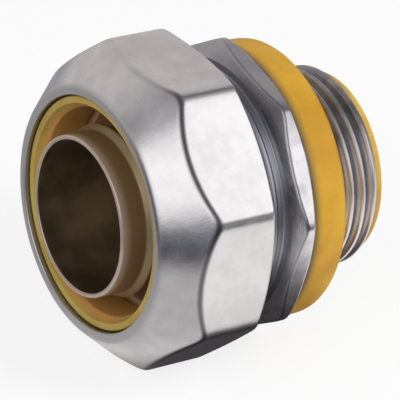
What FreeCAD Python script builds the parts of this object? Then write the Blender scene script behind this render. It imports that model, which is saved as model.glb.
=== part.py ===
"""Straight liquidtight conduit connector, in millimetres.

The axis of the connector is the Y axis. The conduit enters from -Y and the hub points to +Y.
The origin is on the axis, in the plane where the gasket meets the wall of the box, and the
connector lies with one flat of the gland nut facing down.
"""
import FreeCAD, Part
import math
import os

# What the connector is made to fit: conduit and threaded pipe of one trade size have
# the same outside diameter, so the hub's thread is as wide as the conduit
TRADE_OUTSIDE_DIAMETER = 26.67
CONDUIT_WALL = 2.73

# Clearances, each measured on the radius or across the gap
CONDUIT_CLEARANCE = 0.25
FERRULE_CLEARANCE = 0.1
RING_CLEARANCE = 0.2
THREAD_CLEARANCE = 0.25
SEAT_GAP = 0.3
PRESSED_GAP = 0.05

# Gland nut
NUT_LENGTH = 15.1
NUT_WALL_AT_FLATS = 3.2
NUT_LIP_WIDTH = 1.1
NUT_LIP_DEPTH = 1.5
NUT_CONE_ANGLE = 41.3
NUT_REAR_LAND = 0.65
NUT_THREAD_CHAMFER = 0.7
NUT_TO_FLANGE = 4.0

# Sealing ring
RING_LENGTH = 6.4
RING_RECESS = 0.5
RING_FACE_WALL = 1.6
RING_FULL_WALL = 2.2
RING_TAIL_WALL = 1.0
RING_FLARE = 0.7
RING_FLARE_LENGTH = 1.4
SEAT_ANGLE = 45.0

# Ferrule
FERRULE_WALL = 0.6
FERRULE_PROUD = 1.4
FERRULE_BEAD_START = 3.6
FERRULE_BEAD_HEIGHT = 0.75
FERRULE_BEAD_FLANK = 0.9
FERRULE_FLANGE_THICKNESS = 0.6

# Body
GLAND_LAND = 1.0
SOCKET_LENGTH = 8.2
THROAT_STEP = 0.25
NECK_DEPTH = 0.45
NECK_LENGTH = 1.4
FLANGE_LENGTH = 3.15
FLANGE_SHOULDER = 2.35
FLANGE_FACE_LAND = 0.95
FLANGE_REAR_STEP = 0.2
FLANGE_TURN = -10.3
HUB_LENGTH = 8.9
HUB_UNDERCUT = 0.4
HUB_CHAMFER = 0.8

# Wrench flats on the nut and the flange
WRENCH_SIDES = 8
WRENCH_CHAMFER_ANGLE = 25.0

# Gasket
GASKET_THICKNESS = 5.2
GASKET_SETBACK = 0.7
GASKET_EDGE_CHAMFER = 0.4

# Throat liner
LINER_WALL = 1.0
LINER_LENGTH = 9.0
LINER_RIM_THICKNESS = 1.0
LINER_RIM_SETBACK = 0.85

# Radii that follow from the sizes above
conduit_radius = TRADE_OUTSIDE_DIAMETER / 2
hub_radius = TRADE_OUTSIDE_DIAMETER / 2
ring_bore_radius = conduit_radius + CONDUIT_CLEARANCE
ring_face_radius = ring_bore_radius + RING_FACE_WALL
ring_outer_radius = ring_bore_radius + RING_FULL_WALL
ring_tail_radius = ring_bore_radius + RING_TAIL_WALL
mouth_radius = ring_face_radius + RING_CLEARANCE
lip_radius = mouth_radius + NUT_LIP_WIDTH
gland_radius = ring_outer_radius + GLAND_LAND
nut_bore_radius = gland_radius + THREAD_CLEARANCE
nut_flat_radius = nut_bore_radius + NUT_WALL_AT_FLATS
flange_flat_radius = gland_radius + FLANGE_SHOULDER
gasket_radius = flange_flat_radius - GASKET_SETBACK
ferrule_radius = conduit_radius - CONDUIT_WALL - FERRULE_CLEARANCE
ferrule_bore_radius = ferrule_radius - FERRULE_WALL
throat_radius = ferrule_bore_radius + THROAT_STEP
liner_radius = throat_radius + LINER_WALL


def seat_run(rise):
    """Length along Y in which a conical seat rises by the given radius."""
    return rise / math.tan(math.radians(SEAT_ANGLE))


def chamfer_run(rise):
    """Length along Y in which a wrench chamfer rises by the given radius."""
    return rise * math.tan(math.radians(WRENCH_CHAMFER_ANGLE))


# Stations along Y that follow from the sizes above
seat_slope = math.sin(math.radians(SEAT_ANGLE))
flange_rear = -GASKET_THICKNESS
flange_front = flange_rear - FLANGE_LENGTH
nut_rear = flange_front - NUT_TO_FLANGE
nut_front = nut_rear - NUT_LENGTH
lip_end = nut_front + NUT_LIP_DEPTH
ring_front = nut_front + RING_RECESS
ring_rear = ring_front + RING_LENGTH
wedge_start = ring_rear - seat_run(ring_outer_radius - ring_tail_radius)
body_mouth = wedge_start + SEAT_GAP / seat_slope
ferrule_shoulder = body_mouth + SOCKET_LENGTH
ferrule_front = nut_front - FERRULE_PROUD


def turned(points):
    """Make a turned solid from the (radius, station) corners of its section."""
    corners = [FreeCAD.Vector(radius, station, 0) for radius, station in points]
    section = Part.Face(Part.makePolygon(corners + corners[:1]))
    return section.revolve(FreeCAD.Vector(0, 0, 0), FreeCAD.Vector(0, 1, 0), 360)


def wrench_prism(flat_radius, start, end, turn):
    """Make the regular prism whose flats lie flat_radius from the axis."""
    corner_radius = flat_radius / math.cos(math.pi / WRENCH_SIDES)
    corners = []
    for side in range(WRENCH_SIDES):
        angle = math.radians(turn) + (side + 0.5) * 2 * math.pi / WRENCH_SIDES
        x = corner_radius * math.cos(angle)
        z = corner_radius * math.sin(angle)
        corners.append(FreeCAD.Vector(x, start, z))
    face = Part.Face(Part.makePolygon(corners + corners[:1]))
    return face.extrude(FreeCAD.Vector(0, end - start, 0))


def gland_nut():
    """The octagonal compression nut, coned in front and chamfered behind."""
    corner_radius = nut_flat_radius / math.cos(math.pi / WRENCH_SIDES)
    cone_run = (corner_radius - lip_radius) / math.tan(math.radians(NUT_CONE_ANGLE))
    rear_radius = nut_flat_radius - NUT_REAR_LAND
    rear_run = chamfer_run(corner_radius - rear_radius)
    turned_blank = turned([
        (0, nut_front),
        (lip_radius, nut_front),
        (corner_radius, nut_front + cone_run),
        (corner_radius, nut_rear - rear_run),
        (rear_radius, nut_rear),
        (0, nut_rear),
    ])
    blank = turned_blank.common(wrench_prism(nut_flat_radius, nut_front, nut_rear, 0))
    bore = turned([
        (0, nut_front),
        (mouth_radius, nut_front),
        (mouth_radius, lip_end),
        (nut_bore_radius, lip_end + seat_run(nut_bore_radius - mouth_radius)),
        (nut_bore_radius, nut_rear - NUT_THREAD_CHAMFER),
        (nut_bore_radius + NUT_THREAD_CHAMFER, nut_rear),
        (0, nut_rear),
    ])
    return blank.cut(bore)


def sealing_ring():
    """The compression ring, with a conical shoulder in front and a wedge behind."""
    shoulder = lip_end - seat_run(RING_CLEARANCE) + SEAT_GAP / seat_slope
    return turned([
        (ring_bore_radius + RING_FLARE, ring_front),
        (ring_face_radius, ring_front),
        (ring_face_radius, shoulder),
        (ring_outer_radius, shoulder + seat_run(ring_outer_radius - ring_face_radius)),
        (ring_outer_radius, wedge_start),
        (ring_tail_radius, ring_rear),
        (ring_bore_radius, ring_rear),
        (ring_bore_radius, ring_front + RING_FLARE_LENGTH),
    ])


def ferrule():
    """The thin sleeve that goes inside the conduit, with a rolled bead and a rear flange."""
    flange_face = ferrule_shoulder - FERRULE_FLANGE_THICKNESS
    flange_radius = ring_bore_radius - PRESSED_GAP
    bead_start = ferrule_front + FERRULE_BEAD_START
    bead_crest = bead_start + FERRULE_BEAD_FLANK
    return turned([
        (ferrule_bore_radius, ferrule_front),
        (ferrule_radius, ferrule_front),
        (ferrule_radius, bead_start),
        (ferrule_radius + FERRULE_BEAD_HEIGHT, bead_crest),
        (ferrule_radius, bead_crest + FERRULE_BEAD_FLANK),
        (ferrule_radius, flange_face),
        (flange_radius, flange_face),
        (flange_radius, ferrule_shoulder),
        (ferrule_bore_radius, ferrule_shoulder),
    ])


def connector_body():
    """The body: gland thread, neck, octagonal flange and hub in one piece, bored through."""
    corner_radius = flange_flat_radius / math.cos(math.pi / WRENCH_SIDES)
    face_radius = flange_flat_radius - FLANGE_FACE_LAND
    rear_radius = flange_flat_radius + FLANGE_REAR_STEP
    flange_blank = turned([
        (0, flange_front),
        (face_radius, flange_front),
        (corner_radius, flange_front + chamfer_run(corner_radius - face_radius)),
        (corner_radius, flange_rear - chamfer_run(corner_radius - rear_radius)),
        (rear_radius, flange_rear),
        (0, flange_rear),
    ])
    flange = flange_blank.common(wrench_prism(flange_flat_radius, flange_front, flange_rear, FLANGE_TURN))
    neck_radius = gland_radius - NECK_DEPTH
    gland = turned([
        (0, body_mouth),
        (gland_radius, body_mouth),
        (gland_radius, flange_front - NECK_LENGTH),
        (neck_radius, flange_front - NECK_LENGTH + NECK_DEPTH),
        (neck_radius, flange_front),
        (0, flange_front),
    ])
    hub = turned([
        (0, flange_rear),
        (hub_radius - HUB_UNDERCUT, flange_rear),
        (hub_radius - HUB_UNDERCUT, 0),
        (hub_radius, 0),
        (hub_radius, HUB_LENGTH - HUB_CHAMFER),
        (hub_radius - HUB_CHAMFER, HUB_LENGTH),
        (0, HUB_LENGTH),
    ])
    liner_seat = HUB_LENGTH - LINER_LENGTH
    bore = turned([
        (0, body_mouth),
        (ring_outer_radius, body_mouth),
        (ring_bore_radius, body_mouth + seat_run(ring_outer_radius - ring_bore_radius)),
        (ring_bore_radius, ferrule_shoulder),
        (throat_radius, ferrule_shoulder),
        (throat_radius, liner_seat),
        (liner_radius + PRESSED_GAP, liner_seat),
        (liner_radius + PRESSED_GAP, HUB_LENGTH),
        (0, HUB_LENGTH),
    ])
    return gland.fuse([flange, hub]).removeSplitter().cut(bore)


def box_gasket():
    """The thick sealing ring that is squeezed between the flange and the box."""
    bore_radius = hub_radius + PRESSED_GAP
    return turned([
        (bore_radius, -GASKET_THICKNESS),
        (gasket_radius - GASKET_EDGE_CHAMFER, -GASKET_THICKNESS),
        (gasket_radius, GASKET_EDGE_CHAMFER - GASKET_THICKNESS),
        (gasket_radius, -GASKET_EDGE_CHAMFER),
        (gasket_radius - GASKET_EDGE_CHAMFER, 0),
        (bore_radius, 0),
    ])


def throat_liner():
    """The insulating liner in the hub, with a rim that covers the hub's end."""
    rim_radius = hub_radius - LINER_RIM_SETBACK
    rim_end = HUB_LENGTH + LINER_RIM_THICKNESS
    return turned([
        (throat_radius, HUB_LENGTH - LINER_LENGTH),
        (liner_radius, HUB_LENGTH - LINER_LENGTH),
        (liner_radius, HUB_LENGTH),
        (rim_radius, HUB_LENGTH),
        (rim_radius, rim_end),
        (throat_radius, rim_end),
    ])


PIECES = {
    "gland_nut": gland_nut,
    "sealing_ring": sealing_ring,
    "ferrule": ferrule,
    "connector_body": connector_body,
    "box_gasket": box_gasket,
    "throat_liner": throat_liner,
}

os.makedirs("parts", exist_ok=True)
for name, build in PIECES.items():
    shape = build()
    shape.exportStep(os.path.join("parts", name + ".step"))
    box = shape.BoundBox
    print(name, "solids", len(shape.Solids), "valid", shape.isValid(), "volume", round(shape.Volume, 1),
          "Y", round(box.YMin, 2), round(box.YMax, 2), "radius", round(box.XMax, 2))
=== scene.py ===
# %% [markdown]
# # A straight liquidtight conduit connector
#
# A steel fitting that joins a flexible conduit to an electrical box. Everything on it but the
# wrench flats comes off a lathe, so nearly every piece here is one section, drawn once and
# spun round the same axis. The axis is Y: the conduit enters from -Y and the hub points to +Y.
#
# First come the tools, then the camera, floor and light, then the finishes, then the six
# pieces. Sizes are in millimetres, because that is how such a fitting is drawn, and they are
# turned into Blender's metres in one place only.

# %% Open the frame
import math
from collections import namedtuple

import bmesh
import bpy
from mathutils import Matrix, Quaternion, Vector


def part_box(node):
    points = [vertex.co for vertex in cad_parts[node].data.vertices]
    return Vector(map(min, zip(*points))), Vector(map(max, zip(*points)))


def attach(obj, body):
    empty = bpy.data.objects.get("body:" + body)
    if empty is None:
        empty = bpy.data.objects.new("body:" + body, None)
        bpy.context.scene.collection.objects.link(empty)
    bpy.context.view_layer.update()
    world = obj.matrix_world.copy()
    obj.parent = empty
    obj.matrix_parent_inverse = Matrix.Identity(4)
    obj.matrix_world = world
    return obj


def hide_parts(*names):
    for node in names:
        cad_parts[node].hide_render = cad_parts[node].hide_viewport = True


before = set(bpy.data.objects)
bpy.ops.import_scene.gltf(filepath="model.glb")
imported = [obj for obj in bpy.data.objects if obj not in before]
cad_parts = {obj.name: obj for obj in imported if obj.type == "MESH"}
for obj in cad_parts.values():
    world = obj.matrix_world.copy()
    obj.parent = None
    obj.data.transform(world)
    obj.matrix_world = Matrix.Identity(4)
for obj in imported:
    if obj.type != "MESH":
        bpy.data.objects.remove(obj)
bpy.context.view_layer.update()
MM = 0.001

# %% [markdown]
# The frame already holds the plain solids, so the places of the pieces are read from it.
# Only what can't be read from a bounding box is written out as a number further down.


# %% Read the stations and radii
def stations(node):
    """First and last station along Y of a solid, in millimetres."""
    low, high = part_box(node)
    return low.y / MM, high.y / MM


def reach(node):
    """How far a solid reaches from the axis towards +Z, in millimetres."""
    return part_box(node)[1].z / MM


nut_front, nut_rear = stations("gland_nut")
ring_front, ring_rear = stations("sealing_ring")
ferrule_front, ferrule_rear = stations("ferrule")
body_front, hub_end = stations("connector_body")
gasket_front, gasket_rear = stations("box_gasket")
liner_front, liner_rear = stations("throat_liner")
nut_flat = reach("gland_nut")
ring_outer = reach("sealing_ring")
gasket_outer = reach("box_gasket")
liner_rim = reach("throat_liner")
print("nut from", round(nut_front, 2), "to", round(nut_rear, 2), "flats at", round(nut_flat, 2))

# %% [markdown]
# ## Node trees written as sums
#
# A material or a shape rule is arithmetic on values that vary from point to point. Adding
# every Math node by hand hides the arithmetic, so a wire out of a node is wrapped in a class
# that knows the operators: `1 - mask * 0.5` then adds its own two Math nodes. Everything that
# isn't a sum comes from one method that names the node, its settings and its sockets.


# %% The wire and the bench
class Wire:
    """The output socket of a node, which adds Math nodes when it is used in a sum."""

    def __init__(self, bench, socket):
        self.bench = bench
        self.socket = socket

    def out(self, name):
        """Another output of the same node."""
        return Wire(self.bench, self.socket.node.outputs[name])

    def __add__(self, other):
        return self.bench.math("ADD", self, other)

    def __radd__(self, other):
        return self.bench.math("ADD", other, self)

    def __sub__(self, other):
        return self.bench.math("SUBTRACT", self, other)

    def __rsub__(self, other):
        return self.bench.math("SUBTRACT", other, self)

    def __mul__(self, other):
        return self.bench.math("MULTIPLY", self, other)

    def __truediv__(self, other):
        return self.bench.math("DIVIDE", self, other)

    def __rtruediv__(self, other):
        return self.bench.math("DIVIDE", other, self)

    def __neg__(self):
        return self.bench.math("MULTIPLY", self, -1.0)


class Bench:
    """A node tree, and the ways that this script adds nodes to it."""

    def __init__(self, tree):
        self.tree = tree

    def node(self, kind, settings=None, sockets=None, out=0):
        """Add a node: its settings first, then what its sockets take. Gives one output."""
        made = self.tree.nodes.new(kind)
        for name, value in (settings or {}).items():
            setattr(made, name, value)
        for name, value in (sockets or {}).items():
            socket = made.inputs[name]
            if isinstance(value, Wire):
                self.tree.links.new(value.socket, socket)
            else:
                socket.default_value = value
        return Wire(self, made.outputs[out]) if made.outputs else made

    def math(self, operation, *values):
        return self.node("ShaderNodeMath", {"operation": operation}, dict(enumerate(values)))

    def smooth(self, value, low, high):
        """A soft step from 0 at `low` to 1 at `high`. It falls where `low` is the larger."""
        return self.node(
            "ShaderNodeMapRange", {"interpolation_type": "SMOOTHSTEP"}, {0: value, 1: low, 2: high}
        )

    def between(self, value, low, high, soft):
        """1 where a value lies between two limits, with soft sides."""
        rise = self.smooth(value, low - soft, low + soft)
        return rise * self.smooth(value, high + soft, high - soft)

    def ramp(self, length, limits):
        """A soft step along a length, between two limits given in millimetres."""
        return self.smooth(length, limits[0] * MM, limits[1] * MM)

    def blend(self, share, first, second):
        """Mix two colours by a share."""
        first, second = [c if isinstance(c, Wire) else (*c, 1) for c in (first, second)]
        sockets = {0: share, 6: first, 7: second}
        return self.node("ShaderNodeMix", {"data_type": "RGBA"}, sockets, out=2)


print("node tools ready")

# %% [markdown]
# ## The camera
#
# The fitting is seen from the front right and from above, through a long lens, and the
# picture is tipped a little. The camera is placed the way a photographer would say it: how
# far round, how high, how tipped, how far away, and aimed at which point of the fitting.

# %% Place the camera
CAMERA_ROUND = math.radians(52.84)
CAMERA_HEIGHT = math.radians(29.5)
CAMERA_TIP = math.radians(-7.99)
CAMERA_DISTANCE = 442.14
CAMERA_AIM = Vector((0.34, -10.24, -1.31))
LENS_LENGTH = 307.78


def direction(round_angle, height):
    """Unit vector from the fitting towards a place that far round and that high."""
    flat = math.cos(height)
    return Vector((math.sin(round_angle) * flat, -math.cos(round_angle) * flat, math.sin(height)))


camera = bpy.data.objects.new("camera", bpy.data.cameras.new("camera"))
bpy.context.scene.collection.objects.link(camera)
bpy.context.scene.camera = camera
camera_back = direction(CAMERA_ROUND, CAMERA_HEIGHT)
camera.data.lens = LENS_LENGTH
camera.data.clip_start = 0.01
camera.data.clip_end = 10
camera.location = (CAMERA_AIM + camera_back * CAMERA_DISTANCE) * MM
camera.rotation_mode = "QUATERNION"
upright = (-camera_back).to_track_quat("-Z", "Y")
camera.rotation_quaternion = Quaternion(camera_back, -CAMERA_TIP) @ upright
print("camera right", [round(v, 4) for v in camera.rotation_quaternion @ Vector((1, 0, 0))])

# %% [markdown]
# ## Floor and light
#
# Bright metal shows its surroundings more than itself, so the room matters as much as the
# zinc. The room is a plain studio: two soft white lights high on the right, a warm grey wall
# on the left, and a dark gap low on the right where the white sheet ends. The camera sees
# pure white behind the fitting, and on the sheet a soft shadow. The metal sees the sheet as a
# card of painted light and shade: bright to the right of the fitting, a painted shadow under
# it, painted shade before the nut and on the left, and the same dark gap painted where it ends.

# %% The room
WALL_GREY = (0.3, 0.3, 0.32)
WARM_WALL = (0.56, 0.52, 0.515)
CEILING_GREY = (0.2, 0.195, 0.205)
SOFT_WHITE = (1.3, 1.28, 1.285)
DARK_GAP = (0.0, 0.005, 0.035)
WHITE_SEEN_BY_METAL = 0.08

# Where a part of the room begins and where it is complete, on a sphere of radius 1.
WARM_WALL_SIDE = (-0.2, -0.55)
CEILING_RISE = (0.6, 0.95)
GAP_HEIGHT = (-0.3, 0.2)
GAP_SIDE = (0.2, 0.9)
GAP_SHARE = 0.95

scene = bpy.context.scene
scene.view_settings.view_transform = "Standard"
world = bpy.data.worlds.new("studio")
scene.world = world
world.use_nodes = True
world.node_tree.nodes.clear()
room = Bench(world.node_tree)
compass = room.node("ShaderNodeTexCoord", out="Generated")
right = room.node("ShaderNodeSeparateXYZ", None, {0: compass})
along, up = right.out("Y"), right.out("Z")


def soft_box(towards, inner, outer):
    """A round patch of the room, given as the cosines of its inner and outer angles."""
    sockets = {0: compass, 1: Vector(towards).normalized()}
    cosine = room.node("ShaderNodeVectorMath", {"operation": "DOT_PRODUCT"}, sockets, out="Value")
    return room.smooth(cosine, outer, inner)


wall = room.blend(room.smooth(right, *WARM_WALL_SIDE), WALL_GREY, WARM_WALL)
wall = room.blend(room.smooth(up, *CEILING_RISE), wall, CEILING_GREY)
gap = room.between(up, *GAP_HEIGHT, soft=0.1) * room.smooth(right - along, *GAP_SIDE)
wall = room.blend(gap * GAP_SHARE, wall, DARK_GAP)
rear_box = soft_box((0.62, 0.53, 0.58), inner=0.93, outer=0.85)
front_box = soft_box((0.42, -0.74, 0.53), inner=0.94, outer=0.84)
wall = room.blend(room.math("MAXIMUM", rear_box, front_box), wall, SOFT_WHITE)
unseen = room.node("ShaderNodeBackground", None, {"Color": wall, "Strength": 1.0})
seen = room.node("ShaderNodeBackground", None, {"Color": (1, 1, 1, 1), "Strength": 1.0})
path = room.node("ShaderNodeLightPath")
share = path + path.out("Is Transmission Ray") + path.out("Is Glossy Ray") * WHITE_SEEN_BY_METAL
surround = room.node("ShaderNodeMixShader", None, {0: share, 1: unseen, 2: seen})
room.node("ShaderNodeOutputWorld", None, {"Surface": surround})
print("the room has", len(world.node_tree.nodes), "nodes")

# %% The floor and its card
FLOOR_RADIUS = 260
FLOOR_GAP = 0.02
PAPER_SEEN_WHITE = 0.82
# The card's colours are painted light and shade for the metal to mirror: a bright side, a shaded
# side, painted shade before the nut and a painted shadow under the fitting.
BRIGHT_CARD = (1.0, 0.98, 0.97)
SHADED_CARD = (0.34, 0.34, 0.37)
SHADED_FRONT_CARD = (0.52, 0.5, 0.51)
CONTACT_SHADOW = (0.06, 0.057, 0.06)
CARD_SHARE = 0.9

# The parts of the card, in millimetres. The first three give the rectangle under the fitting.
UNDER_HALF_WIDTH = 30
UNDER_MIDDLE = -7
UNDER_HALF_LENGTH = 13
SHADOW_FADE = (6, 0)
BRIGHT_SIDE = (-16, -4)
BEFORE_NUT = (18, 30)
FAR_AWAY = (45, 70)
FAR_SIDE = (20, 60)

floor_material = bpy.data.materials.new("floor_paper")
floor_material.use_nodes = True
floor_material.node_tree.nodes.clear()
paper = Bench(floor_material.node_tree)
lit_paper = paper.node("ShaderNodeBsdfDiffuse", None, {"Color": (0.9, 0.9, 0.9, 1)})
white_paper = paper.node("ShaderNodeEmission", None, {"Color": (1, 1, 1, 1), "Strength": 1.0})
path = paper.node("ShaderNodeLightPath")
share = (path + path.out("Is Transmission Ray")) * PAPER_SEEN_WHITE
seen_paper = paper.node("ShaderNodeMixShader", None, {0: share, 1: lit_paper, 2: white_paper})

sheet = paper.node("ShaderNodeTexCoord", out="Object")
side = paper.node("ShaderNodeSeparateXYZ", None, {0: sheet})
depth = side.out("Y")
beside = paper.math("MAXIMUM", paper.math("ABSOLUTE", side) - UNDER_HALF_WIDTH * MM, 0.0)
from_middle = paper.math("ABSOLUTE", depth - UNDER_MIDDLE * MM)
beyond = paper.math("MAXIMUM", from_middle - UNDER_HALF_LENGTH * MM, 0.0)
away = paper.math("SQRT", beside * beside + beyond * beyond)
far = paper.ramp(away, FAR_AWAY) * paper.ramp(side - depth, FAR_SIDE)
reflected = paper.blend(paper.ramp(side, BRIGHT_SIDE), SHADED_CARD, BRIGHT_CARD)
reflected = paper.blend(paper.ramp(-depth, BEFORE_NUT) * CARD_SHARE, reflected, SHADED_FRONT_CARD)
reflected = paper.blend(paper.ramp(away, SHADOW_FADE), reflected, CONTACT_SHADOW)
reflected = paper.blend(far * CARD_SHARE, reflected, DARK_GAP)
card = paper.node("ShaderNodeEmission", None, {"Color": reflected, "Strength": 1.0})
sides = {0: path.out("Is Glossy Ray"), 1: seen_paper, 2: card}
surface = paper.node("ShaderNodeMixShader", None, sides)
paper.node("ShaderNodeOutputMaterial", None, {"Surface": surface})

floor_mesh = bpy.data.meshes.new("floor")
outline = bmesh.new()
bmesh.ops.create_circle(outline, cap_ends=True, radius=FLOOR_RADIUS * MM, segments=96)
outline.to_mesh(floor_mesh)
outline.free()
floor = bpy.data.objects.new("floor", floor_mesh)
floor.location = (0, 0, -(nut_flat + FLOOR_GAP) * MM)
floor_mesh.materials.append(floor_material)
scene.collection.objects.link(floor)

# %% [markdown]
# Two soft lamps light the plastic and the rubber and cast the shadow. They aren't mirrored in
# the metal, because the mirror image of a small lamp would burn a hard white patch into a
# flat. What the metal shows is the room and the card.


# %% Lamps
def soft_lamp(name, round_angle, height, distance, size, power):
    """A square area lamp that looks at the fitting from a place round it."""
    lamp = bpy.data.objects.new(name, bpy.data.lights.new(name, "AREA"))
    lamp.data.size = size * MM
    lamp.data.energy = power
    towards = direction(math.radians(round_angle), math.radians(height))
    lamp.location = towards * distance * MM
    lamp.rotation_mode = "QUATERNION"
    lamp.rotation_quaternion = (-towards).to_track_quat("-Z", "Y")
    lamp.visible_glossy = False
    scene.collection.objects.link(lamp)
    return lamp


key_lamp = soft_lamp("key_lamp", 125, 48, distance=500, size=160, power=1.1)
fill_lamp = soft_lamp("fill_lamp", 35, 40, distance=600, size=300, power=0.7)
print("lamps", key_lamp.data.energy, fill_lamp.data.energy, "watts")

# %% [markdown]
# ## A section, spun and milled
#
# A lathe makes a solid from a section, and a mill then cuts flats on it. Blender's Screw
# modifier could spin the section, and a boolean could cut the flats, but a boolean leaves
# ragged faces where the cone meets the flats, just where the light catches the edge. Here the
# cut is part of the spinning instead. Each corner of the section says whether the mill moves
# it, as `cut`, and how far it slides along the axis as the metal gets narrower, as `lean`. The
# corner then follows the cone exactly, and its rounding goes with it.
#
# The section itself is drawn in Python: its corners are rounded, and each rounding gets a row
# of points on either side, so that the shading of the flat part stays flat. Each row also
# notes how strongly it is an edge, and whether it lies on a flat, because only there may the
# line between two flats be drawn later.

# %% Draw a section
Corner = namedtuple(
    "Corner", "radius station rounding cut lean thread", defaults=(0.15, 0.0, 0.0, 0.0)
)
Row = namedtuple("Row", "point corner edge on_flat")
ARC_POINTS = 5
GUARD_DISTANCE = 0.2
LEAST_BEND = 0.05
ALONG_AXIS = 0.01
ROOM_SHARE = 0.45
GUARD_STRETCH = 1.05


def turn_side(before, here, after):
    """Positive where the section turns left, negative where it turns right."""
    return (here - before).cross(after - here)


def section_rows(corners):
    """Round the corners of a closed section, and give its points as rows."""
    places = [Vector((c.radius, c.station)) for c in corners]
    area = sum(a.cross(b) for a, b in zip(places, places[1:] + places[:1]))
    rows = []
    for index, corner in enumerate(corners):
        here = places[index]
        before, after = places[index - 1], places[(index + 1) % len(places)]
        way_in, way_out = (here - before).normalized(), (after - here).normalized()
        bend = way_in.angle(way_out, 0)
        flat_ahead = abs(way_out.x) < ALONG_AXIS
        if corner.rounding == 0 or bend < LEAST_BEND:
            rows.append(Row(here, corner, 0.0, 0.0))
            continue
        edge = 1.0 if turn_side(before, here, after) * area > 0 else -1.0
        room_left = ROOM_SHARE * min((here - before).length, (after - here).length)
        run = min(corner.rounding * math.tan(bend / 2), room_left)
        guard = min(run + GUARD_DISTANCE, room_left * GUARD_STRETCH)
        rows.append(Row(here - way_in * guard, corner, 0.0, corner.cut * (not flat_ahead)))
        for step in range(ARC_POINTS):
            share = step / (ARC_POINTS - 1)
            start, end = here - way_in * run, here + way_out * run
            chord_in, chord_out = start.lerp(here, share), here.lerp(end, share)
            point = chord_in.lerp(chord_out, share)
            strength = edge * math.sin(math.pi * share) ** 2
            on_flat = corner.cut * (share >= 0.5 if flat_ahead else share <= 0.5)
            rows.append(Row(point, corner, strength, on_flat))
        rows.append(Row(here + way_out * guard, corner, 0.0, corner.cut * flat_ahead))
    return rows


def section_object(name, corners):
    """An object whose mesh is the closed section, with what each row needs to be milled."""
    rows = section_rows(corners)
    mesh = bpy.data.meshes.new(name)
    loop = [(i, (i + 1) % len(rows)) for i in range(len(rows))]
    mesh.from_pydata([(row.point.x * MM, row.point.y * MM, 0) for row in rows], loop, [])
    values = {
        "cut": [row.corner.cut for row in rows],
        "lean": [row.corner.lean for row in rows],
        "thread": [row.corner.thread for row in rows],
        "edge": [row.edge for row in rows],
        "on_flat": [float(row.on_flat) for row in rows],
    }
    for attribute, numbers in values.items():
        mesh.attributes.new(attribute, "FLOAT", "POINT").data.foreach_set("value", numbers)
    return bpy.data.objects.new(name, mesh)


square = [Corner(1, 0), Corner(2, 0), Corner(2, 1), Corner(1, 1)]
print("a square with rounded corners has", len(section_rows(square)), "rows")

# %% [markdown]
# The tree below spins the section. Columns crowd together near the corners between two flats,
# because the rounding there is narrow and the flats need none. How round those corners are is
# the Softness input, the width over which one flat blends into the next. A thread is the same
# rule once more: the radius dips by the thread's depth, and the dip moves along the axis by
# one pitch in one turn, so it winds right-handed without a helix having to be drawn. The hub's
# rows carry a positive thread number and the gland's a negative one, which picks the pitch.

# %% The spinning and milling tree
CROWDING = 0.8
CORNER_LINE_WIDTH = 0.5
CORNER_LINE_STRENGTH = 0.55
CREST_END = 0.2
ROOT_START = 0.85
CREST_MARK = 0.1
ROOT_SHADE = 0.8

spin = bpy.data.node_groups.new("spun_and_milled_section", "GeometryNodeTree")
spin.is_modifier = True
INPUTS = {
    "Section": "NodeSocketGeometry",
    "Columns": "NodeSocketInt",
    "Flats": "NodeSocketInt",
    "Flat Radius": "NodeSocketFloat",
    "Softness": "NodeSocketFloat",
    "Rear Face": "NodeSocketFloat",
    "Turn": "NodeSocketFloat",
    "Gland Pitch": "NodeSocketFloat",
    "Thread Depth": "NodeSocketFloat",
    "Hub Pitch": "NodeSocketFloat",
    "Finish": "NodeSocketMaterial",
}
for label, kind in INPUTS.items():
    spin.interface.new_socket(label, in_out="INPUT", socket_type=kind)
spin.interface.new_socket("Piece", in_out="OUTPUT", socket_type="NodeSocketGeometry")

bench = Bench(spin)
given = bench.node("NodeGroupInput")


def named(attribute):
    settings = {"data_type": "FLOAT"}
    return bench.node("GeometryNodeInputNamedAttribute", settings, {"Name": attribute})


def stored(geometry, attribute, value):
    settings = {"data_type": "FLOAT", "domain": "POINT"}
    sockets = {"Geometry": geometry, "Name": attribute, "Value": value}
    return bench.node("GeometryNodeStoreNamedAttribute", settings, sockets)


section = bench.node("GeometryNodeMeshToCurve", None, {0: given})
place = bench.node("ShaderNodeSeparateXYZ", None, {0: bench.node("GeometryNodeInputPosition")})
section = stored(section, "drawn_radius", place)
section = stored(section, "drawn_station", place.out("Y"))
circle = bench.node("GeometryNodeCurvePrimitiveCircle", None, {"Resolution": given.out("Columns")})
circle = stored(circle, "column", bench.node("GeometryNodeInputIndex"))
spun = bench.node("GeometryNodeCurveToMesh", None, {"Curve": circle, "Profile Curve": section})

flats = given.out("Flats")
sector = 2 * math.pi / flats
even = named("column") * (2 * math.pi) / given.out("Columns")
crowded = even - bench.math("SINE", even * flats) * CROWDING / flats
from_corner = bench.math("FLOORED_MODULO", crowded, sector)
flat_radius = given.out("Flat Radius")
corner_radius = flat_radius / bench.math("COSINE", sector / 2)
facing = flat_radius / bench.math("COSINE", from_corner - sector / 2)
facing_before = flat_radius / bench.math("COSINE", from_corner + sector / 2)
facing_after = flat_radius / bench.math("COSINE", from_corner - sector * 1.5)
softness = given.out("Softness")
milled = bench.math("SMOOTH_MIN", facing, facing_before, softness)
milled = bench.math("SMOOTH_MIN", milled, facing_after, softness)

cut = named("cut")
removed = (corner_radius - milled) * cut
angle = crowded + given.out("Turn")
drawn_station = named("drawn_station")
furthest = bench.math("MAXIMUM", drawn_station, given.out("Rear Face"))
station = bench.math("MINIMUM", drawn_station - removed * named("lean"), furthest)
radius = bench.math("MINIMUM", named("drawn_radius") - removed, milled)

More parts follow.
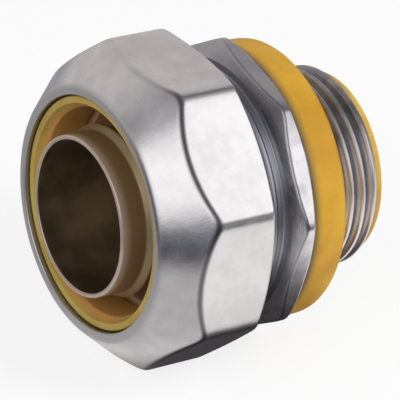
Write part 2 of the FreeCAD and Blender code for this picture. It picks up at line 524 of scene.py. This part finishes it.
thread = named("thread")
hub_thread = bench.math("GREATER_THAN", thread, 0.0)
pitch = hub_thread * given.out("Hub Pitch") + (1 - hub_thread) * given.out("Gland Pitch")
winding = bench.math("FLOORED_MODULO", station / pitch + angle / (2 * math.pi), 1.0)
from_crest = bench.math("ABSOLUTE", winding * 2 - 1)
groove = bench.smooth(from_crest, CREST_END, ROOT_START)
thread_share = bench.math("ABSOLUTE", thread)
radius = radius - groove * thread_share * given.out("Thread Depth")

outward, upward = bench.math("COSINE", angle), bench.math("SINE", angle)
spread = {0: radius * outward, 1: station, 2: radius * upward}
position = bench.node("ShaderNodeCombineXYZ", None, spread)
shaped = bench.node("GeometryNodeSetPosition", None, {"Geometry": spun, "Position": position})
# The stored marks steer painted light and shade: convex edges and the lines between flats are
# positive, inner corners and thread roots negative.
near_corner = bench.math("MINIMUM", from_corner, sector - from_corner) * corner_radius
corner_line = bench.ramp(near_corner, (CORNER_LINE_WIDTH, 0)) * named("on_flat")
edge = bench.math("MAXIMUM", named("edge"), corner_line * CORNER_LINE_STRENGTH)
edge = edge + thread_share * (CREST_MARK - groove * ROOT_SHADE)
shaped = stored(shaped, "painted_edge_marks", edge)
shaped = bench.node("GeometryNodeSetShadeSmooth", None, {"Geometry": shaped, "Shade Smooth": True})
shaped = bench.node("GeometryNodeRealizeInstances", None, {0: shaped})
painted = {"Geometry": shaped, "Material": given.out("Finish")}
bench.node("NodeGroupOutput", None, {0: bench.node("GeometryNodeSetMaterial", None, painted)})
print("the tree has", len(spin.nodes), "nodes")

# %% [markdown]
# The tree runs as a modifier on the section's object. Its inputs are known by identifiers, so
# they are looked up by name once. The result is copied to a plain mesh, made into a new
# object at the origin, and its faces are checked to point outwards by the sign of its volume.

# %% Spin a section into a piece
WRENCH_FLATS = 8
GLAND_PITCH = 1.5
HUB_PITCH = 1.814
THREAD_DEPTH = 0.85
ROWS_PER_PITCH = 14
OUT_OF_REACH = 20.0


def spun_piece(
    name,
    node,
    body,
    finish,
    corners,
    columns=192,
    flat_radius=OUT_OF_REACH,
    softness=1.0,
    rear_face=OUT_OF_REACH,
    turn=0.0,
):
    """Spin a section into a finished piece that stands for one solid of the frame.

    The last four say how the mill cuts it. A round piece leaves them as they are.
    """
    drawing = section_object(name + "_section", corners)
    scene.collection.objects.link(drawing)
    modifier = drawing.modifiers.new("spin", "NODES")
    modifier.node_group = spin
    values = {
        "Columns": columns,
        "Flats": WRENCH_FLATS,
        "Flat Radius": flat_radius * MM,
        "Softness": softness * MM,
        "Rear Face": rear_face * MM,
        "Turn": math.radians(turn),
        "Gland Pitch": GLAND_PITCH * MM,
        "Hub Pitch": HUB_PITCH * MM,
        "Thread Depth": THREAD_DEPTH * MM,
        "Finish": finish,
    }
    for item in spin.interface.items_tree:
        if item.name in values and item.in_out == "INPUT":
            modifier[item.identifier] = values[item.name]
    bpy.context.view_layer.update()
    evaluated = drawing.evaluated_get(bpy.context.evaluated_depsgraph_get())
    mesh = bpy.data.meshes.new_from_object(evaluated)
    drawing.modifiers.remove(modifier)
    bpy.data.objects.remove(drawing)
    shell = bmesh.new()
    shell.from_mesh(mesh)
    if shell.calc_volume(signed=True) < 0:
        bmesh.ops.reverse_faces(shell, faces=shell.faces)
    volume = shell.calc_volume(signed=True)
    shell.to_mesh(mesh)
    shell.free()
    piece = bpy.data.objects.new(name, mesh)
    scene.collection.objects.link(piece)
    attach(piece, body)
    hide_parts(node)
    print(name, len(mesh.polygons), "faces", round(volume / MM**3), "cubic mm")


def thread_rows(radius, start, end, pitch, lead, sign=1.0):
    """Rows close enough to carry a thread, which fades in and out over its lead."""
    count = max(2, round(abs(end - start) / pitch * ROWS_PER_PITCH))
    rows = []
    for step in range(count + 1):
        station_here = start + (end - start) * step / count
        to_end = min(abs(station_here - start), abs(end - station_here))
        share = min(1.0, to_end / lead)
        fade = share * share * (3 - 2 * share)
        rows.append(Corner(radius, station_here, 0.0, thread=sign * fade))
    return rows


# %% [markdown]
# ## Zinc plate
#
# Bright zinc on cast steel isn't a clean mirror. The casting leaves it slightly uneven at the
# scale of a millimetre, and the lathe leaves fine rings on the turned parts. The edges along
# the scallops and between the flats are painted as dark lines, as painted shade. They are
# plain on the right, the side the camera sees, and faint on the left. The inner corners and
# the thread roots are painted darker as painted shade, and the tops of the flange and the hub
# take a painted dark bluish shade. The hub is tinted warm, as a painted reflection of the
# gasket. Ahead of the flange the small radii, the neck and the nut's lip, are painted darker
# as painted shade. The mouth of the body, deep behind the ring, is painted the amber of the
# plastic beside it, as a painted reflection.
#
# All of it is worked out from the piece's own coordinates and from the edge and corner marks
# that the spinning tree stored. Only colour, metalness, roughness and bump vary, so the finish
# bakes well.


# %% Zinc finish
def new_finish(name):
    material = bpy.data.materials.new(name)
    material.use_nodes = True
    material.node_tree.nodes.clear()
    return material, Bench(material.node_tree)


def noise(bench, vector, scale, detail=3.0, roughness=0.5):
    sockets = {"Vector": vector, "Scale": scale, "Detail": detail, "Roughness": roughness}
    return bench.node("ShaderNodeTexNoise", None, sockets)


Spot = namedtuple("Spot", "point rings across side station up")


def lathe_spot(bench):
    """A point of the surface as the finishes need it: `rings` is (radius, station, 0)."""
    point = bench.node("ShaderNodeTexCoord", out="Object")
    side = bench.node("ShaderNodeSeparateXYZ", None, {0: point})
    station, up = side.out("Y"), side.out("Z")
    across = bench.math("SQRT", side * side + up * up)
    rings = bench.node("ShaderNodeCombineXYZ", None, {0: across, 1: station, 2: 0.0})
    return Spot(point, rings, across, side, station, up)


def finish_with(bench, **sockets):
    """End a finish in a Principled shader."""
    names = {name.replace("_", " "): value for name, value in sockets.items()}
    shader = bench.node("ShaderNodeBsdfPrincipled", None, names)
    bench.node("ShaderNodeOutputMaterial", None, {"Surface": shader})


def edge_marks_of(bench):
    """The stored marks, as painted edges and as painted shade in the inner corners."""
    painted_edge_marks = bench.node("ShaderNodeAttribute", {"attribute_name": "painted_edge_marks"}, out="Fac")
    return bench.smooth(painted_edge_marks, 0.05, 0.9), bench.smooth(-painted_edge_marks, 0.05, 0.9)


TOP_SHADE = (0.17, 0.175, 0.2)
AMBER_REFLECTION_IN_MOUTH = (0.8, 0.5, 0.24)
PLAIN_ZINC = (0.7, 0.7, 0.7)
FAINT_LINE = 0.08

# Noise scales, in waves to the metre.
CASTING_SCALE = 420
CLOUD_SCALE = 130
LATHE_SCALE = 5200
GRAIN_SCALE = 5000

# A radius that no surface lies inside, for a finish without an inner colour.
NO_RADIUS = 1.0

# Where a zone fades in and where it is complete, in millimetres.
LINES_SIDE = (5.0, 8.8)
LINES_STATION = (-26.8, -25.8)
HUB_STATION = (-1.0, 0.5)
HUB_TOP = (4.0, 10.5)
FLANGE_TOP = (12.0, 17.0)
MOUTH_STATION = (-11.0, -13.0)
AHEAD_OF_FLANGE = (-8.2, -8.6)


def zinc_plate(
    name,
    dull,
    bright,
    edge_line_shade,
    corner_shade,
    small_radii_shade,
    small_radius,
    ring_depth,
    cast_depth,
    top_shade=0.0,
    hub_warm_reflection=PLAIN_ZINC,
    amber_radius=NO_RADIUS,
):
    """Zinc plate. The colour for the small radii is painted inside `small_radius`, ahead of the
    flange, as painted shade.
    """
    material, bench = new_finish(name)
    spot = lathe_spot(bench)
    painted_edges, shaded_corners = edge_marks_of(bench)
    # Dark lines are painted along the edges as painted shade: plain on the right, faint on the
    # left and none at the nut's front.
    painted_edges = painted_edges * (FAINT_LINE + bench.ramp(spot.side, LINES_SIDE) * (1 - FAINT_LINE))
    painted_edges = painted_edges * bench.ramp(spot.station, LINES_STATION)
    casting = noise(bench, spot.point, CASTING_SCALE, 4, 0.55)
    cloud = noise(bench, spot.point, CLOUD_SCALE, 2)
    lathe = noise(bench, spot.rings, LATHE_SCALE, 2)
    grain = noise(bench, spot.point, GRAIN_SCALE, 2)
    tone = bench.smooth(casting * 0.6 + cloud * 0.4, 0.35, 0.65)
    colour = bench.blend(tone, dull, bright)
    # The hub is tinted warm, as a painted reflection of the amber gasket beside it.
    on_hub = bench.ramp(spot.station, HUB_STATION)
    colour = bench.blend(on_hub * 0.7, colour, hub_warm_reflection)
    # The tops of the hub and the flange take a painted dark bluish shade.
    hub_top = bench.ramp(spot.up, HUB_TOP) * on_hub
    flange_top = bench.ramp(spot.up, FLANGE_TOP) * (1 - on_hub)
    on_top = hub_top + flange_top * 0.5
    colour = bench.blend(on_top * (0.5 + tone * 0.4) * top_shade, colour, TOP_SHADE)
    colour = bench.blend(painted_edges * 0.9, colour, edge_line_shade)
    # The inner corners and the thread roots are painted darker, as painted shade.
    corner_shade_mask = bench.smooth(shaded_corners + casting * 0.35, 0.45, 1.1)
    colour = bench.blend(corner_shade_mask * 0.8, colour, corner_shade)
    # The body's mouth behind the ring is painted amber and not metal, as a painted reflection of
    # the plastic round it.
    amber_reflection = bench.ramp(spot.across, (amber_radius + 0.1, amber_radius - 0.1))
    amber_reflection = amber_reflection * bench.ramp(spot.station, MOUTH_STATION)
    colour = bench.blend(amber_reflection, colour, AMBER_REFLECTION_IN_MOUTH)
    # Ahead of the flange the small radii are painted darker, as painted shade, and made rougher.
    small = bench.ramp(spot.station, AHEAD_OF_FLANGE) * bench.ramp(spot.across, small_radius)
    colour = bench.blend(small * (1 - amber_reflection) * 0.7, colour, small_radii_shade)
    rough = 0.18 + casting * 0.1 + grain * 0.05
    rough = rough + corner_shade_mask * 0.3 + amber_reflection * 0.3 + small * 0.12 + on_hub * 0.1
    relief = casting * cast_depth + lathe * ring_depth + grain * 0.25
    bump = {"Strength": 0.35, "Distance": 0.06 * MM, "Height": relief}
    bumped = bench.node("ShaderNodeBump", None, bump)
    finish_with(bench, Base_Color=colour, Metallic=1 - amber_reflection, Roughness=rough, Normal=bumped)
    return material


zinc_nut = zinc_plate(
    "zinc_on_nut",
    dull=(0.69, 0.68, 0.69),
    bright=(0.8, 0.79, 0.79),
    edge_line_shade=(0.16, 0.155, 0.16),
    corner_shade=(0.14, 0.13, 0.13),
    small_radii_shade=(0.5, 0.5, 0.5),
    small_radius=(17.1, 16.3),
    ring_depth=0.3,
    cast_depth=1.0,
)
zinc_body = zinc_plate(
    "zinc_on_body",
    dull=(0.5, 0.5, 0.54),
    bright=(0.76, 0.75, 0.76),
    edge_line_shade=(0.3, 0.29, 0.31),
    corner_shade=(0.14, 0.14, 0.15),
    small_radii_shade=(0.3, 0.315, 0.36),
    small_radius=(18.2, 16.8),
    ring_depth=0.7,
    cast_depth=0.8,
    top_shade=1.0,
    hub_warm_reflection=(0.84, 0.78, 0.76),
    amber_radius=15.8,
)
print("zinc finishes", zinc_nut.name, zinc_body.name)

# %% [markdown]
# ## Plastic, rubber and the ferrule's plate
#
# The yellow parts are moulded. Moulded plastic is never one even colour: it darkens where it
# is thick, it has dark specks of dirt, and its gloss changes in soft clouds. Its inner corners
# are painted darker as painted shade, and its outer edges carry a painted edge colour: a paler
# painted highlight on the ring, a darker painted shade on the gasket. The ring's deep inside is
# painted a brighter orange than its face, as painted light. The gasket is a softer, more amber
# rubber with a fine skin, and a painted shadow darkens its edge on the flange's side. The
# ferrule is thin steel with a dull yellow-brown plate. A painted highlight runs round its mouth
# and along its edges, and its bore is painted darker than its outside, as painted shade where
# little light comes in.


# %% Moulded and plated finishes
SHADOW_AT_FLANGE = (-3.6, -5.0)
CORE_FADE = 0.6
FERRULE_UNSHADED_OUTSIDE = (0.38, 0.3, 0.17)
FERRULE_RIM_HIGHLIGHT = (0.72, 0.62, 0.53)
FERRULE_OUTSIDE = (10.1, 10.3)
FERRULE_FACE = (9.9, 10.2)
FERRULE_MOUTH = (-27.2, -28.6)


def moulded(
    name,
    deep,
    pale,
    painted_edge_colour,
    dirt_and_corner_shade,
    rough,
    skin,
    flange_shadow=0.0,
    core=(0, 0, 0),
    core_radius=NO_RADIUS,
):
    """Plastic or rubber. `core` is the colour painted inside `core_radius`, as painted light."""
    material, bench = new_finish(name)
    spot = lathe_spot(bench)
    painted_edges, shaded_corners = edge_marks_of(bench)
    cloud = noise(bench, spot.point, 110, 3)
    fine = noise(bench, spot.point, 1400, 3)
    colour = bench.blend(bench.smooth(cloud, 0.35, 0.65), deep, pale)
    # The outer edges take a painted edge colour: a paler painted highlight on the ring, a darker
    # painted shade on the gasket.
    colour = bench.blend(painted_edges * 0.45, colour, painted_edge_colour)
    # A painted shadow darkens the gasket's edge beside the flange.
    colour = bench.blend(bench.ramp(spot.station, SHADOW_AT_FLANGE) * flange_shadow, colour, painted_edge_colour)
    # The ring's deep bore is painted a brighter orange than its face, as painted light.
    in_core = bench.ramp(spot.across, (core_radius + CORE_FADE, core_radius))
    colour = bench.blend(in_core, colour, core)
    # Dark specks of dirt, and the inner corners painted darker as painted shade.
    speck = bench.smooth(noise(bench, spot.point, 900, 2), 0.62, 0.78)
    colour = bench.blend(bench.math("MINIMUM", speck * 0.25 + shaded_corners * 0.5, 0.7), colour, dirt_and_corner_shade)
    roughness = rough + cloud * 0.1 + speck * 0.1 - painted_edges * 0.05
    bump = {"Strength": 0.3, "Distance": 0.05 * MM, "Height": fine * skin + cloud}
    bumped = bench.node("ShaderNodeBump", None, bump)
    finish_with(
        bench, Base_Color=colour, Roughness=roughness, Normal=bumped, Specular_IOR_Level=0.3
    )
    return material


def brown_plate(name, deep, pale):
    """The ferrule's plate: its bore painted darker than its outside as painted shade, with a
    painted highlight round its mouth.
    """
    material, bench = new_finish(name)
    spot = lathe_spot(bench)
    painted_edges = edge_marks_of(bench)[0]
    drawn = noise(bench, spot.rings, 3000, 3)
    cloud = noise(bench, spot.point, 160, 3)
    colour = bench.blend(bench.smooth(cloud, 0.3, 0.7), deep, pale)
    # The bore keeps the darker colours, as painted shade, and the outside is paler.
    colour = bench.blend(bench.ramp(spot.across, FERRULE_OUTSIDE) * 0.8, colour, FERRULE_UNSHADED_OUTSIDE)
    # A painted highlight runs round the mouth and along the edges.
    mouth_highlight = bench.ramp(spot.station, FERRULE_MOUTH) * bench.ramp(spot.across, FERRULE_FACE)
    colour = bench.blend(bench.math("MAXIMUM", painted_edges, mouth_highlight) * 0.8, colour, FERRULE_RIM_HIGHLIGHT)
    roughness = 0.32 + cloud * 0.15 + drawn * 0.1 - painted_edges * 0.08
    bump = {"Strength": 0.3, "Distance": 0.04 * MM, "Height": drawn + cloud * 0.5}
    bumped = bench.node("ShaderNodeBump", None, bump)
    finish_with(bench, Base_Color=colour, Metallic=0.75, Roughness=roughness, Normal=bumped)
    return material


ring_yellow = moulded(
    "ring_yellow",
    deep=(0.44, 0.29, 0.05),
    pale=(0.55, 0.4, 0.085),
    painted_edge_colour=(0.5, 0.42, 0.13),
    dirt_and_corner_shade=(0.2, 0.11, 0.04),
    rough=0.38,
    skin=0.4,
    core=(0.72, 0.38, 0.11),
    core_radius=13.7,
)
gasket_amber = moulded(
    "gasket_amber",
    deep=(0.52, 0.27, 0.02),
    pale=(0.66, 0.37, 0.035),
    painted_edge_colour=(0.27, 0.16, 0.045),
    dirt_and_corner_shade=(0.28, 0.14, 0.03),
    rough=0.46,
    skin=0.6,
    flange_shadow=0.9,
)
liner_yellow = moulded(
    "liner_yellow",
    deep=(0.5, 0.3, 0.05),
    pale=(0.66, 0.43, 0.08),
    painted_edge_colour=(0.55, 0.38, 0.08),
    dirt_and_corner_shade=(0.25, 0.14, 0.04),
    rough=0.4,
    skin=0.4,
)
# The ferrule's two colours are its bore's, painted dark as painted shade.
ferrule_brown = brown_plate("ferrule_plate", (0.11, 0.08, 0.045), (0.24, 0.175, 0.1))
print("finishes", [m.name for m in (ring_yellow, gasket_amber, liner_yellow, ferrule_brown)])

# %% [markdown]
# ## The gland nut
#
# The big nut at the conduit end is what a wrench turns. Its front is a cone that runs out
# into the eight flats, so the edge between them is a row of scallops, and its back has a
# shallow chamfer of the same kind. Inside are a narrow mouth, a conical seat for the sealing
# ring and the thread.

# %% Nut
NUT_CONE_SLOPE = 1 / math.tan(math.radians(41.3))
REAR_CHAMFER_SLOPE = math.tan(math.radians(25))
LIP_RADIUS = 16.485
MOUTH_RADIUS = 15.385
LIP_DEPTH = 1.5
NUT_BORE = 17.035
NUT_REAR_LAND = 0.65
NUT_REAR_BEVEL = 0.7
NUT_THREAD_END = 0.5
NUT_SOFTNESS = 1.5
HALF_SECTOR = 180 / WRENCH_FLATS

nut_corner = nut_flat / math.cos(math.pi / WRENCH_FLATS)
nut_cone_end = nut_front + (nut_corner - LIP_RADIUS) * NUT_CONE_SLOPE
nut_rear_radius = nut_flat - NUT_REAR_LAND
nut_chamfer_start = nut_rear - (nut_corner - nut_rear_radius) * REAR_CHAMFER_SLOPE
lip_end = nut_front + LIP_DEPTH
seat_end = lip_end + NUT_BORE - MOUTH_RADIUS
spun_piece(
    "nut",
    "gland_nut",
    "nut",
    zinc_nut,
    [
        Corner(LIP_RADIUS, nut_front, 0.9),
        Corner(nut_corner, nut_cone_end, 1.8, 1.0, NUT_CONE_SLOPE),
        Corner(nut_corner, nut_chamfer_start, 0.5, 1.0, -REAR_CHAMFER_SLOPE),
        Corner(nut_rear_radius, nut_rear, 0.3),
        Corner(NUT_BORE + NUT_REAR_BEVEL, nut_rear, 0.15),
        *thread_rows(
            NUT_BORE,
            nut_rear - NUT_REAR_BEVEL,
            seat_end + NUT_THREAD_END,
            GLAND_PITCH,
            lead=1.0,
            sign=-1.0,
        ),
        Corner(NUT_BORE, seat_end, 0.2),
        Corner(MOUTH_RADIUS, lip_end, 0.15),
        Corner(MOUTH_RADIUS, nut_front, 0.35),
    ],
    columns=256,
    flat_radius=nut_flat,
    softness=NUT_SOFTNESS,
    rear_face=nut_rear,
    turn=HALF_SECTOR,
)

# %% [markdown]
# ## The body
#
# One piece of steel: the threaded gland that the nut screws on to, a short smooth neck, the
# octagonal flange and the hub with the box thread. The flange is a little narrower than the
# nut and is turned against it by some degrees, as a tightened nut never lines up with it. Its
# rear edge is turned down to the gasket's radius. It is drawn narrower than the plain solid,
# so that it stays inside.

# %% Body
FLANGE_TURN = -10.3
FLANGE_OVER_GASKET = 0.1
FLANGE_UNDER_GASKET = 0.05
FLANGE_FACE_LAND = 1.3
FLANGE_LENGTH = 3.15
FLANGE_SOFTNESS = 1.6
FLANGE_FRONT_SLOPE = math.tan(math.radians(25))
FLANGE_REAR_SLOPE = math.tan(math.radians(30))
GLAND_RADIUS = 16.785
GLAND_THREAD_START = 0.8
GLAND_THREAD_END = 0.1
NECK_DEPTH = 0.45
NECK_LENGTH = 1.4
HUB_RADIUS = 13.335
HUB_CHAMFER = 0.8
HUB_UNDERCUT = 0.4
HUB_UNDERCUT_END = -0.7
HUB_THREAD_START = -0.4
SOCKET_RADIUS = 13.585
SOCKET_MOUTH = 15.785
THROAT_RADIUS = 10.155
LINER_RADIUS = 11.155
PRESSED_GAP = 0.05

flange_rear = gasket_front
flange_front = flange_rear - FLANGE_LENGTH
flange_flat = gasket_outer + FLANGE_OVER_GASKET
flange_corner = flange_flat / math.cos(math.pi / WRENCH_FLATS)
flange_face = flange_flat - FLANGE_FACE_LAND
front_chamfer_end = flange_front + (flange_corner - flange_face) * FLANGE_FRONT_SLOPE
flange_rear_radius = gasket_outer - FLANGE_UNDER_GASKET
rear_chamfer_start = flange_rear - (flange_corner - flange_rear_radius) * FLANGE_REAR_SLOPE
neck_start = flange_front - NECK_LENGTH
spun_piece(
    "body",
    "connector_body",
    "connector",
    zinc_body,
    [
        Corner(SOCKET_MOUTH, body_front, 0.15),
        Corner(GLAND_RADIUS, body_front, 0.3),
        *thread_rows(
            GLAND_RADIUS,
            body_front + GLAND_THREAD_START,
            neck_start - GLAND_THREAD_END,
            GLAND_PITCH,
            lead=1.2,
            sign=-1.0,
        ),
        Corner(GLAND_RADIUS, neck_start, 0.1),
        Corner(GLAND_RADIUS - NECK_DEPTH, neck_start + NECK_DEPTH, 0.15),
        Corner(GLAND_RADIUS - NECK_DEPTH, flange_front, 0.25),
        Corner(flange_face, flange_front, 0.25),
        Corner(flange_corner, front_chamfer_end, 0.5, 1.0, FLANGE_FRONT_SLOPE),
        Corner(flange_corner, rear_chamfer_start, 0.4, 1.0, -FLANGE_REAR_SLOPE),
        Corner(flange_rear_radius, flange_rear, 0.2),
        Corner(HUB_RADIUS - HUB_UNDERCUT, flange_rear, 0.1),
        Corner(HUB_RADIUS - HUB_UNDERCUT, HUB_UNDERCUT_END, 0.1),
        *thread_rows(HUB_RADIUS, HUB_THREAD_START, hub_end - HUB_CHAMFER, HUB_PITCH, lead=0.9),
        Corner(HUB_RADIUS - HUB_CHAMFER, hub_end, 0.15),
        Corner(LINER_RADIUS + PRESSED_GAP, hub_end, 0.1),
        Corner(LINER_RADIUS + PRESSED_GAP, liner_front, 0.1),
        Corner(THROAT_RADIUS, liner_front, 0.1),
        Corner(THROAT_RADIUS, ferrule_rear, 0.1),
        Corner(SOCKET_RADIUS, ferrule_rear, 0.2),
        Corner(SOCKET_RADIUS, body_front + SOCKET_MOUTH - SOCKET_RADIUS, 0.15),
    ],
    columns=240,
    flat_radius=flange_flat,
    softness=FLANGE_SOFTNESS,
    rear_face=flange_rear,
    turn=HALF_SECTOR + FLANGE_TURN,
)

# %% [markdown]
# ## The small turned pieces
#
# The sealing ring, the ferrule, the gasket and the liner have no flats, so their sections
# only spin. The ferrule is thin enough that its rim is one full rounding, and a rolled bead
# near its mouth holds it in the conduit. The ring's face sinks a little behind the solid's, so
# that the lip stands proud of it. The gasket's outside is slightly crowned, because rubber
# that is squeezed between two walls swells between them.

# %% Ring, ferrule, gasket and liner
RING_FACE = 15.185
RING_TAIL = 14.585
RING_SINK = 0.15
RING_FLARE = 0.7
RING_FLARE_LENGTH = 1.4
RING_GAP = 0.2
SEAT_GAP = 0.3
FERRULE_RADIUS = 10.505
FERRULE_BORE = 9.905
FERRULE_FLANGE = 13.535
FERRULE_FLANGE_THICKNESS = 0.6
BEAD_START = 3.6
BEAD_HEIGHT = 0.72
BEAD_WIDTH = 1.8
GASKET_CROWN = 0.12
GASKET_BORE = HUB_RADIUS + PRESSED_GAP

ring_shoulder = lip_end - RING_GAP + SEAT_GAP * math.sqrt(2)
spun_piece(
    "ring",
    "sealing_ring",
    "ring",
    ring_yellow,
    [
        Corner(SOCKET_RADIUS + RING_FLARE, ring_front + RING_SINK, 0.25),
        Corner(RING_FACE, ring_front + RING_SINK, 0.3),
        Corner(RING_FACE, ring_shoulder, 0.1),
        Corner(ring_outer, ring_shoulder + ring_outer - RING_FACE, 0.1),
        Corner(ring_outer, ring_rear - ring_outer + RING_TAIL, 0.1),
        Corner(RING_TAIL, ring_rear, 0.15),
        Corner(SOCKET_RADIUS, ring_rear, 0.15),
        Corner(SOCKET_RADIUS, ring_front + RING_SINK + RING_FLARE_LENGTH, 0.3),
    ],
)

bead = ferrule_front + BEAD_START
spun_piece(
    "ferrule_sleeve",
    "ferrule",
    "connector",
    ferrule_brown,
    [
        Corner(FERRULE_BORE, ferrule_front, 0.28),
        Corner(FERRULE_RADIUS, ferrule_front, 0.28),
        Corner(FERRULE_RADIUS, bead, 0.5),
        Corner(FERRULE_RADIUS + BEAD_HEIGHT, bead + BEAD_WIDTH * 0.4, 0.5),
        Corner(FERRULE_RADIUS + BEAD_HEIGHT, bead + BEAD_WIDTH * 0.6, 0.5),
        Corner(FERRULE_RADIUS, bead + BEAD_WIDTH, 0.5),
        Corner(FERRULE_RADIUS, ferrule_rear - FERRULE_FLANGE_THICKNESS, 0.4),
        Corner(FERRULE_FLANGE, ferrule_rear - FERRULE_FLANGE_THICKNESS, 0.2),
        Corner(FERRULE_FLANGE, ferrule_rear, 0.2),
        Corner(FERRULE_BORE, ferrule_rear, 0.3),
    ],
)

spun_piece(
    "gasket",
    "box_gasket",
    "connector",
    gasket_amber,
    [
        Corner(GASKET_BORE, gasket_front, 0.2),
        Corner(gasket_outer - GASKET_CROWN, gasket_front, 0.9),
        Corner(gasket_outer, (gasket_front + gasket_rear) / 2, 0.0),
        Corner(gasket_outer - GASKET_CROWN, gasket_rear, 0.7),
        Corner(GASKET_BORE, gasket_rear, 0.2),
    ],
)

spun_piece(
    "liner",
    "throat_liner",
    "connector",
    liner_yellow,
    [
        Corner(THROAT_RADIUS, liner_front, 0.2),
        Corner(LINER_RADIUS, liner_front, 0.2),
        Corner(LINER_RADIUS, hub_end, 0.1),
        Corner(liner_rim, hub_end, 0.1),
        Corner(liner_rim, liner_rear, 0.45),
        Corner(THROAT_RADIUS, liner_rear, 0.45),
    ],
)
